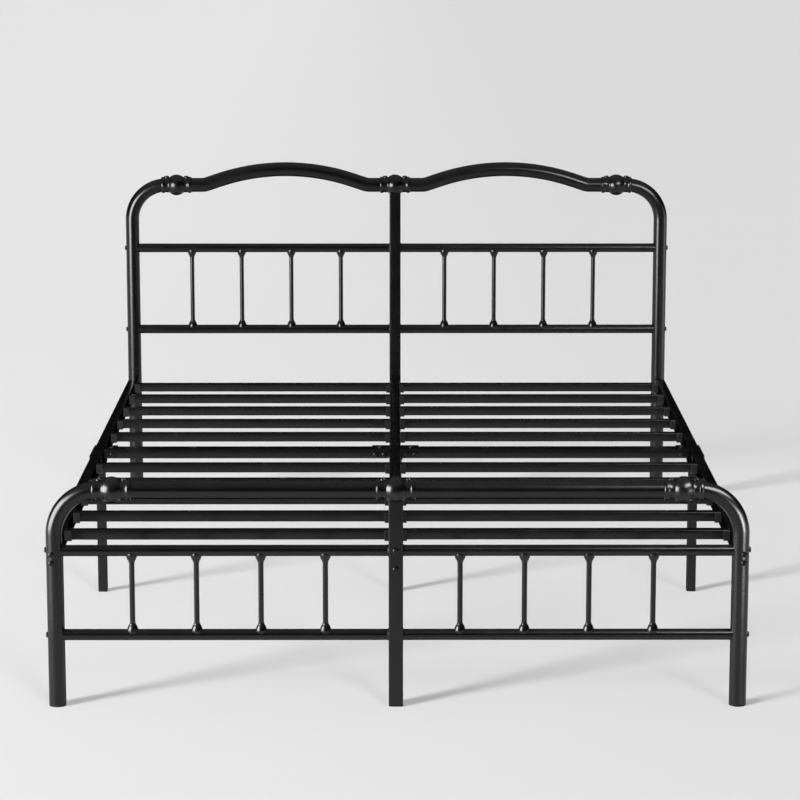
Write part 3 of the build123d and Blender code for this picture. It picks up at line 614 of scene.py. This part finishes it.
def make_collar_screws():
    shells = Shells()
    for end in ENDS:
        _, y, _, z = post_axis(end, "left")
        for name in ("left", "centre", "right"):
            for side in (-1, 1):
                seat = (middle(f"{end}_{name}_ball").x + side * SCREW_X, y, z + COLLAR_R)
                large_bolt(shells, seat, (0, 0, 1), length=9 * MM, sink=1.6 * MM)
    shells.piece("ball_joint_screws", "black_fasteners", ["collar_screws"])


def make_centre_post(end):
    node = f"{end}_centre_post"
    lows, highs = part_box(node)
    x, y = (lows.x + highs.x) / 2, (lows.y + highs.y) / 2
    width = highs.x - lows.x
    shells = Shells()
    box_tube(shells, (x, y, lows.z), (1, 0, 0), (0, 1, 0), width, width, TUBE_WALL, highs.z - lows.z)
    shells.piece(f"{node}_tube", "black_powder_coat", [node])


def rail_names(end):
    """Each round rail of one end, with the name and direction of its side."""
    for level in ("upper", "lower"):
        for side_name, side in SIDES.items():
            yield f"{end}_{side_name}_{level}_rail", side_name, side


def make_rails(end):
    """Four round rails, flat at the centre post and hollowed at the corner posts."""
    count = 64
    turn = [2 * pi * i / count for i in range(count)]
    for node, side_name, side in rail_names(end):
        radius = size(node).z / 2
        post_x, y, post_r, _ = post_axis(end, side_name)
        z = middle(node).z
        flat_x = high(node).x if side < 0 else low(node).x
        rings = []
        for r in (radius, radius - RAIL_WALL):
            flat = [Vector((flat_x, y + r * cos(a), z + r * sin(a))) for a in turn]
            coped = [Vector((post_x - side * sqrt(post_r**2 - (r * cos(a)) ** 2), p.y, p.z))
                     for a, p in zip(turn, flat)]
            # Out along the outside and back along the inside.
            rings += [flat, coped] if r == radius else [coped, flat]
        shells = Shells()
        shells.skin(rings, looped=True)
        shells.piece(f"{node}_tube", "black_powder_coat", [node])


def make_rail_welds():
    """Weld beads where the round rails meet the centre posts."""
    shells = Shells()
    for end in ENDS:
        for node, _, side in rail_names(end):
            flat_x = high(node).x if side < 0 else low(node).x
            centre = Vector((flat_x + side * 0.4 * MM, middle(node).y, middle(node).z))
            weld_ring(shells, centre, (side, 0, 0), size(node).z / 2 - 0.1 * MM, 1.5 * MM, 22)
    shells.piece("rail_welds", "black_powder_coat", sharp=60)


def spindle_xs(end):
    lows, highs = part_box(f"{end}_spindles")
    xs = [lows.x + SPINDLE_R + i * SPINDLE_PITCH for i in range(SPINDLES_PER_SIDE)]
    return xs + [highs.x - SPINDLE_R - i * SPINDLE_PITCH for i in range(SPINDLES_PER_SIDE)]


def knuckle_profile():
    """Round below, with a long cheek and a short hollow neck that ends on the spindle."""
    turn = radians(KNUCKLE_CHEEK_ANGLE)
    reach = KNUCKLE_CHEEK_R + KNUCKLE_NECK_R
    cheek_centre = (KNUCKLE_LIFT, KNUCKLE_R - KNUCKLE_CHEEK_R)
    neck_centre = (cheek_centre[0] + reach * sin(turn), cheek_centre[1] + reach * cos(turn))
    belly = arc((KNUCKLE_LIFT, 0), KNUCKLE_R, 178, 90, 20)
    cheek = arc(cheek_centre, KNUCKLE_CHEEK_R, 90, 90 - KNUCKLE_CHEEK_ANGLE, 14)[1:]
    neck = arc(neck_centre, KNUCKLE_NECK_R, 270 - KNUCKLE_CHEEK_ANGLE, 270, 8)[1:]
    end = neck_centre[0] + 0.3 * MM
    return belly + cheek + neck + [(end, SPINDLE_R + 0.5 * MM), (end, SPINDLE_R - 0.1 * MM)]


def make_spindles(end):
    y = middle(f"{end}_spindles").y
    bottom, top = middle(f"{end}_left_lower_rail").z, middle(f"{end}_left_upper_rail").z
    inner_r = SPINDLE_R - SPINDLE_WALL
    bar_profile = [(0, SPINDLE_R), (top - bottom, SPINDLE_R), (top - bottom, inner_r), (0, inner_r)]
    bars, knuckles = Shells(), Shells()
    for x in spindle_xs(end):
        lathe(bars, (x, y, bottom), (0, 0, 1), bar_profile, 40)
        for z, up in ((bottom, 1), (top, -1)):
            lathe(knuckles, (x, y, z), (0, 0, up), knuckle_profile(), 56, looped=False)
    bars.piece(f"{end}_spindle_bars", "black_powder_coat", [f"{end}_spindles"])
    knuckles.piece(f"{end}_spindle_knuckles", "cast_black", [f"{end}_knuckles"], sharp=50)


def make_rail_bolts():
    """Bolts through the corner posts into the ends of the round rails."""
    shells = Shells()
    for end in ENDS:
        for node, side_name, side in rail_names(end):
            post_x, y, post_r, _ = post_axis(end, side_name)
            lift = 1.5 * MM if "footboard" in node and "upper" in node else 0.0
            seat = (post_x + side * (post_r - 0.6 * MM), y, middle(node).z + lift)
            small_bolt(shells, seat, (side, 0, 0), length=49 * MM, head_h=4.5 * MM, sink=1.2 * MM)
    shells.piece("corner_post_bolts", "black_fasteners", ["rail_bolts"])


for end in ENDS:
    for side_name in SIDES:
        make_post(end, side_name)
        make_top_tube(end, side_name)
    for name in ("left", "centre", "right"):
        make_ball(end, name)
    make_centre_post(end)
    make_rails(end)
    make_spindles(end)
make_collar_screws()
make_rail_welds()
make_rail_bolts()


# ---------------------------------------------------------------- side rails, centre rail and their fittings
def make_long_rail(node):
    origin = (middle(node).x, low(node).y, middle(node).z)
    width, length, height = size(node)
    shells = Shells()
    box_tube(shells, origin, (-1, 0, 0), (0, 0, 1), width, height, TUBE_WALL, length, LONG_RAIL_CORNER)
    shells.piece(f"{node}_tube", "black_powder_coat", [node])


def make_sleeve(name, wall):
    """Channel round two rail ends, open at the top."""
    node = f"{name}_joint_sleeve"
    lows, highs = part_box(node)
    inner_low, inner_high = lows.x + wall, highs.x - wall
    floor = lows.z + wall
    round_r = wall * 0.9
    outline = [(lows.x, highs.z), (lows.x, lows.z + round_r)]
    outline += arc((lows.x + round_r, lows.z + round_r), round_r, 180, 270, 6)[1:]
    outline += arc((highs.x - round_r, lows.z + round_r), round_r, 270, 360, 6)
    outline += [(highs.x, highs.z), (inner_high, highs.z), (inner_high, floor)]
    outline += [(inner_low, floor), (inner_low, highs.z)]
    shells = Shells()
    outline_block(shells, "y", lows.y, highs.y, outline)
    shells.piece(f"{node}_channel", "black_powder_coat", [node], bevel=0.5 * MM)


def make_sleeve_bolts():
    """Bolts across the joint sleeves, each with its tip showing on the far side."""
    shells = Shells()
    joint_y = middle("left_joint_sleeve").y
    for name, side in (("left", -1), ("right", 1), ("centre", 1)):
        node = f"{name}_joint_sleeve"
        lows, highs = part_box(node)
        head_x, tip_x = (lows.x, highs.x) if side < 0 else (highs.x, lows.x)
        z = middle(f"{name}_side_rail_front" if name in SIDES else "centre_rail_front").z
        for offset in SLEEVE_BOLTS_Y:
            y = joint_y + offset
            small_bolt(shells, (head_x, y, z), (side, 0, 0), length=size(node).x)
            lathe(shells, (tip_x, y, z), (-side, 0, 0), [(0, 5.5 * MM), (0.3 * MM, M6_R)], 6, looped=False)
    shells.piece("joint_sleeve_screws", "black_fasteners", ["joint_sleeve_bolts"])


def make_side_rail_bolts():
    """Two bolts through each corner post into a side rail's end block."""
    shells = Shells()
    for end, facing in ENDS.items():
        for side_name, side in SIDES.items():
            _, y, post_r, _ = post_axis(end, side_name)
            for z in SIDE_BOLTS_Z:
                seat = (side * SIDE_BOLT_X, y + facing * (post_r - 1.1 * MM), z)
                small_bolt(shells, seat, (0, facing, 0), length=60 * MM, head_h=5 * MM, sink=1.4 * MM)
    shells.piece("side_rail_screws", "black_fasteners", ["side_rail_bolts"])


def make_centre_rail_bolts():
    shells = Shells()
    for end, facing in ENDS.items():
        post = f"{end}_centre_post"
        face = high(post).y if facing > 0 else low(post).y
        for z in CENTRE_BOLTS_Z:
            large_bolt(shells, (middle(post).x, face, z), (0, facing, 0), length=44 * MM)
    shells.piece("centre_rail_screws", "black_fasteners", ["centre_rail_bolts"])


for half in ("front", "rear"):
    for side_name in SIDES:
        make_long_rail(f"{side_name}_side_rail_{half}")
    make_long_rail(f"centre_rail_{half}")
for name, wall in SLEEVE_WALLS.items():
    make_sleeve(name, wall)
make_sleeve_bolts()
make_side_rail_bolts()
make_centre_rail_bolts()


# ---------------------------------------------------------------- slats, holders, crossbars and brackets
def slat_ys():
    lows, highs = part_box("left_slats")
    rear = [highs.y - SLAT_W / 2 - i * SLAT_PITCH["rear"] for i in range(SLATS_PER_HALF)]
    front = [lows.y + SLAT_W / 2 + i * SLAT_PITCH["front"] for i in range(SLATS_PER_HALF)]
    return rear + front


def make_slats(side_name):
    node = f"{side_name}_slats"
    length, _, height = size(node)
    shells = Shells()
    for y in slat_ys():
        origin = (low(node).x, y, middle(node).z)
        box_tube(shells, origin, (0, 1, 0), (0, 0, 1), SLAT_W, height, SLAT_WALL, length, SLAT_CORNER)
    shells.piece(f"{side_name}_slat_tubes", "black_powder_coat", [node])


def channel(y_low, y_high, wall, closed, opened, corner):
    """Outline in Y and Z of a channel with rounded corners at its closed side."""
    turned = 1 if opened > closed else -1
    bend = closed + turned * corner
    inside = closed + turned * wall
    outline = [(y_low, opened), (y_low, bend)]
    outline += arc((y_low + corner, bend), corner, 180, 180 + turned * 90, 5)[1:]
    outline += arc((y_high - corner, bend), corner, turned * 270, turned * 270 + turned * 90, 5)
    outline += [(y_high, opened), (y_high - wall, opened), (y_high - wall, inside)]
    return outline + [(y_low + wall, inside), (y_low + wall, opened)]


def holder(shells, face, towards, y, length, bottom, top):
    """Plastic cradle: a channel open at the top and closed at the rail."""
    inner = SLAT_W / 2
    outer = inner + HOLDER_WALL
    outline = channel(y - outer, y + outer, HOLDER_WALL, bottom, top, HOLDER_CORNER)
    outline_block(shells, "x", face, face + towards * length, outline)
    back = sorted((face, face + towards * HOLDER_BACK))
    slab(shells, (back[0], y - inner, bottom + HOLDER_WALL), (back[1], y + inner, top - 0.6 * MM))


def make_holders():
    faces = {
        "side": [(high("left_side_rail_front").x, 1), (low("right_side_rail_front").x, -1)],
        "centre": [(low("centre_rail_front").x, -1), (high("centre_rail_front").x, 1)],
    }
    for kind, length in HOLDER_LENGTHS.items():
        node = f"{kind}_slat_holders"
        shells = Shells()
        for y in slat_ys():
            for face, towards in faces[kind]:
                holder(shells, face, towards, y, length, low(node).z, high(node).z)
        shells.piece(f"{kind}_holders", "black_plastic", [node], bevel=0.5 * MM)


def bracket(shells, bolts, kind, face, towards):
    """Folded sheet bracket over a crossbar's end, with bolts on top and in front."""
    lows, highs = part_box(f"{kind}_crossbar_brackets")
    end = face + towards * BRACKET_LENGTHS[kind]
    outline = channel(lows.y, highs.y, BRACKET_PLATE, highs.z, lows.z, BRACKET_CORNER)
    outline_block(shells, "x", face, end, outline)
    flange = sorted((face, face + towards * BRACKET_FLANGE))
    slab(shells, (flange[0], lows.y + BRACKET_PLATE, lows.z),
         (flange[1], highs.y - BRACKET_PLATE, highs.z - BRACKET_PLATE))
    on_top, *in_front = BRACKET_BOLTS[kind]
    seat = (face + towards * on_top, (lows.y + highs.y) / 2, highs.z)
    small_bolt(bolts, seat, (0, 0, 1), length=8 * MM)
    for offset in in_front:
        seat = (face + towards * offset, lows.y, middle("left_mid_crossbar").z)
        small_bolt(bolts, seat, (0, -1, 0), length=8 * MM)


def make_brackets():
    bolts = Shells()
    length = BRACKET_LENGTHS["centre"]
    outer_low, outer_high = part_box("side_crossbar_brackets")
    inner_low, inner_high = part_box("centre_crossbar_brackets")
    faces = {
        "side": ((outer_low.x, 1), (outer_high.x, -1)),
        "centre": ((inner_low.x + length, -1), (inner_high.x - length, 1)),
    }
    for kind, places in faces.items():
        shells = Shells()
        for face, towards in places:
            bracket(shells, bolts, kind, face, towards)
        shells.piece(f"{kind}_brackets", "black_powder_coat", [f"{kind}_crossbar_brackets"], bevel=0.4 * MM)
    bolts.piece("crossbar_screws", "black_fasteners", ["crossbar_bolts"])


def make_crossbar(node):
    origin = (low(node).x, middle(node).y, middle(node).z)
    length, width, height = size(node)
    shells = Shells()
    box_tube(shells, origin, (0, 1, 0), (0, 0, 1), width, height, TUBE_WALL, length, CROSSBAR_CORNER)
    shells.piece(f"{node}_tube", "black_powder_coat", [node])


for side_name in SIDES:
    make_slats(side_name)
    make_crossbar(f"{side_name}_mid_crossbar")
make_holders()
make_brackets()


# ---------------------------------------------------------------- middle legs and caps
def leg_x(name):
    return LEG_X.get(name, middle("centre_middle_leg").x)


def make_leg(name):
    """Square leg with a plate under the rail's sleeve."""
    node = f"{name}_middle_leg"
    lows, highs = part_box(node)
    plate_z = highs.z - LEG_PLATE
    foot = (leg_x(name), middle(node).y, lows.z)
    shells = Shells()
    box_tube(shells, foot, (1, 0, 0), (0, 1, 0), LEG_W, LEG_W, TUBE_WALL, plate_z - lows.z)
    slab(shells, (lows.x, lows.y, plate_z), (highs.x, highs.y, highs.z))
    shells.piece(f"{node}_tube", "black_powder_coat", [node], bevel=0.6 * MM)


def round_cap(shells, x, y, radius):
    """Cap with a rounded rim, and a thin gap line below the tube."""
    plug_r = radius - TUBE_WALL - PLUG_GAP
    profile = [(0, radius * 0.5), (0, radius - CAP_RIM)]
    profile += [(CAP_RIM - CAP_RIM * cos(radians(a)), radius - CAP_RIM + CAP_RIM * sin(radians(a)))
                for a in range(15, 91, 15)]
    profile += [(CAP_FLOOR - 0.3 * MM, radius), (CAP_FLOOR, radius - 0.3 * MM)]
    profile += [(CAP_FLOOR, plug_r), (CAP_TOP, plug_r)]
    lathe(shells, (x, y, 0), (0, 0, 1), profile, 80, looped=False)


def square_cap(shells, x, y, width):
    """The same in a square outline, as rings at rising heights, each with its inset."""
    plug_inset = TUBE_WALL + PLUG_GAP
    levels = [(0, 1.2 * MM), (0.25 * MM, 0.5 * MM), (0.8 * MM, 0.1 * MM), (1.4 * MM, 0), (3.7 * MM, 0)]
    levels += [(CAP_FLOOR, 0.3 * MM), (CAP_FLOOR, plug_inset), (CAP_TOP, plug_inset)]
    rings = []
    for z, inset in levels:
        outline = rounded_rect(width - 2 * inset, width - 2 * inset, (1.4 if inset else 2.5) * MM)
        rings.append([Vector((x + a, y + b, z)) for a, b in outline])
    shells.skin(rings)


def make_caps():
    shells = Shells()
    for end in ENDS:
        for side_name in SIDES:
            x, y, radius, _ = post_axis(end, side_name)
            round_cap(shells, x, y, radius)
    for end in ENDS:
        post = f"{end}_centre_post"
        square_cap(shells, middle(post).x, middle(post).y, size(post).x)
    for name in ("left", "right", "centre"):
        square_cap(shells, leg_x(name), middle(f"{name}_middle_leg").y, LEG_W)
    shells.piece("plastic_feet", "black_plastic", ["foot_caps"])


for name in ("left", "centre", "right"):
    make_leg(name)
make_caps()

# ---------------------------------------------------------------- carried-over CAD nodes
SLOT_OF = {entry["node"]: entry["material_slot"] for entry in frame["record"]["subparts"]}
for node, obj in NODES.items():
    for material_slot in obj.material_slots:
        material_slot.material = MATERIALS[SLOT_OF[node]]


# ---------------------------------------------------------------- floor, light and camera
def make_floor():
    half = 30.0
    mesh = bpy.data.meshes.new("floor")
    corners = [(-half, -half, 0), (half, -half, 0), (half, half, 0), (-half, half, 0)]
    mesh.from_pydata(corners, [], [(0, 1, 2, 3)])
    mesh.materials.append(floor_paint("floor_paint"))
    obj = bpy.data.objects.new("floor", mesh)
    obj.location.z = -0.0004
    bpy.context.scene.collection.objects.link(obj)


def link_light(name, data):
    obj = bpy.data.objects.new(name, data)
    obj.rotation_mode = "QUATERNION"
    bpy.context.scene.collection.objects.link(obj)
    return obj


def collected(name, wanted):
    """Collection of the pieces whose names pass a test."""
    found = bpy.data.collections.new(name)
    for piece in bpy.data.objects:
        if piece.type == "MESH" and wanted(piece.name):
            found.objects.link(piece)
    return found


def panel(name, place, aim, width, height, power, lit=()):
    """Soft panel that shows in the paint's highlights, of some pieces or of all, and not on the floor."""
    data = bpy.data.lights.new(name, "AREA")
    data.shape, data.size, data.size_y = "RECTANGLE", width, height
    data.energy = power
    obj = link_light(name, data)
    obj.location = place
    obj.rotation_quaternion = (Vector(aim) - Vector(place)).to_track_quat("-Z", "Y")
    obj.visible_diffuse = False
    if lit:
        linking = obj.light_linking
        linking.receiver_collection = collected(f"{name}_pieces", lambda word: word.startswith(lit))
        linking.blocker_collection = collected(f"{name}_blockers", lambda word: "screws" not in word)


def distant(name, azimuth, elevation, strength, softness, shadow=True, spared=()):
    """Even light over the whole floor. Azimuth is measured from the front, positive to the right."""
    data = bpy.data.lights.new(name, "SUN")
    data.energy, data.angle, data.use_shadow = strength, radians(softness), shadow
    obj = link_light(name, data)
    a, e = radians(azimuth), radians(elevation)
    towards_light = Vector((sin(a) * cos(e), -cos(a) * cos(e), sin(e)))
    obj.rotation_quaternion = (-towards_light).to_track_quat("-Z", "Y")
    obj.visible_glossy = False
    if spared:
        blockers = collected(f"{name}_blockers", lambda word: not word.startswith(spared))
        obj.light_linking.blocker_collection = blockers


def low_lamp(name, azimuth, elevations, floor_light, softness, spared=()):
    """Soft low lamp: suns side by side in height, which share the light that reaches the floor."""
    share = floor_light / sum(sin(radians(e)) for e in elevations)
    for e in elevations:
        distant(f"{name}_{e}", azimuth, e, share, softness, spared=spared)


def make_world():
    """Pale backdrop. In the paint it shows as a dark room with a brighter ceiling."""
    world = bpy.data.worlds.new("studio")
    bpy.context.scene.world = world
    world.use_nodes = True
    nodes, links = world.node_tree.nodes, world.node_tree.links
    background = nodes["Background"]
    ray = nodes.new("ShaderNodeLightPath")
    split = nodes.new("ShaderNodeSeparateXYZ")
    links.new(nodes.new("ShaderNodeTexCoord").outputs["Generated"], split.inputs["Vector"])
    ceiling = spread(nodes, links, split.outputs["Z"], 0.4, 0.85, 0.0, 0.34)
    pick_glossy = nodes.new("ShaderNodeMix")
    pick_glossy.inputs["A"].default_value = 0.15
    links.new(ray.outputs["Is Glossy Ray"], pick_glossy.inputs["Factor"])
    links.new(ceiling, pick_glossy.inputs["B"])
    pick_camera = nodes.new("ShaderNodeMix")
    pick_camera.inputs["B"].default_value = 0.77
    links.new(ray.outputs["Is Camera Ray"], pick_camera.inputs["Factor"])
    links.new(pick_glossy.outputs["Result"], pick_camera.inputs["A"])
    links.new(pick_camera.outputs["Result"], background.inputs["Strength"])
    background.inputs["Color"].default_value = (1, 1, 1, 1)


def hide_shadows():
    """Only the posts, the legs and the low rails cast shadows on the floor."""
    hidden = ("slat_tubes", "holders", "crossbar", "brackets", "centre_rail", "spindle", "knuckles",
              "top_tube", "arch", "ball", "upper_rail", "side_rail", "sleeve", "screws")
    for obj in bpy.data.objects:
        if obj.type == "MESH" and any(word in obj.name for word in hidden):
            obj.visible_shadow = False


def make_lights():
    right_front = ("footboard_right_post", "footboard_right_ball")
    right_half = right_front + ("footboard_right", "headboard_right", "right_slat", "right_side",
                                "ball_joint_screws", "corner_post_bolts", "side_holders")
    faint_shadows = ("footboard_right_post", "footboard_left_lower_rail", "footboard_right_lower_rail")
    low_lamp("key", -53, (17, 25), 0.62, 14)
    low_lamp("left_key", -53, (17, 25), 0.74, 14, spared=faint_shadows)
    low_lamp("fill", 24, (18, 27), 0.28, 14)
    distant("overhead", 0, 89, 1.23, 30, shadow=False)
    panel("left_panel", (-3.1, -2.3, 1.0), (-0.4, -0.9, 0.5), 2.4, 2.2, 340)
    panel("right_high_panel", (1.95, -2.38, 2.34), (0.7, -1.0, 0.49), 2.2, 0.95, 125, right_half)
    panel("right_low_panel", (2.68, -2.47, 0.45), (0.7, -1.0, 0.45), 1.6, 0.9, 24, right_front)
    panel("right_post_panel", (2.04, -2.57, 0.3), (0.757, -1.035, 0.3), 0.9, 0.6, 45,
          ("footboard_right_post",))
    panel("right_rear_panel", (2.9, 0.6, 0.6), (0.75, 1.0, 0.6), 1.0, 1.2, 9, ("headboard_right_post",))


def make_camera():
    data = bpy.data.cameras.new("camera")
    data.lens = 132.37
    data.sensor_width = 36.0
    data.clip_end = 100.0
    camera = bpy.data.objects.new("camera", data)
    camera.location = (-0.0106, -7.3518, 1.8818)
    camera.rotation_euler = Euler((radians(90 - 10.675), 0, radians(-0.143)))
    bpy.context.scene.collection.objects.link(camera)
    bpy.context.scene.camera = camera


make_floor()
make_world()
hide_shadows()
make_lights()
make_camera()
bpy.context.scene.view_settings.view_transform = "Standard"
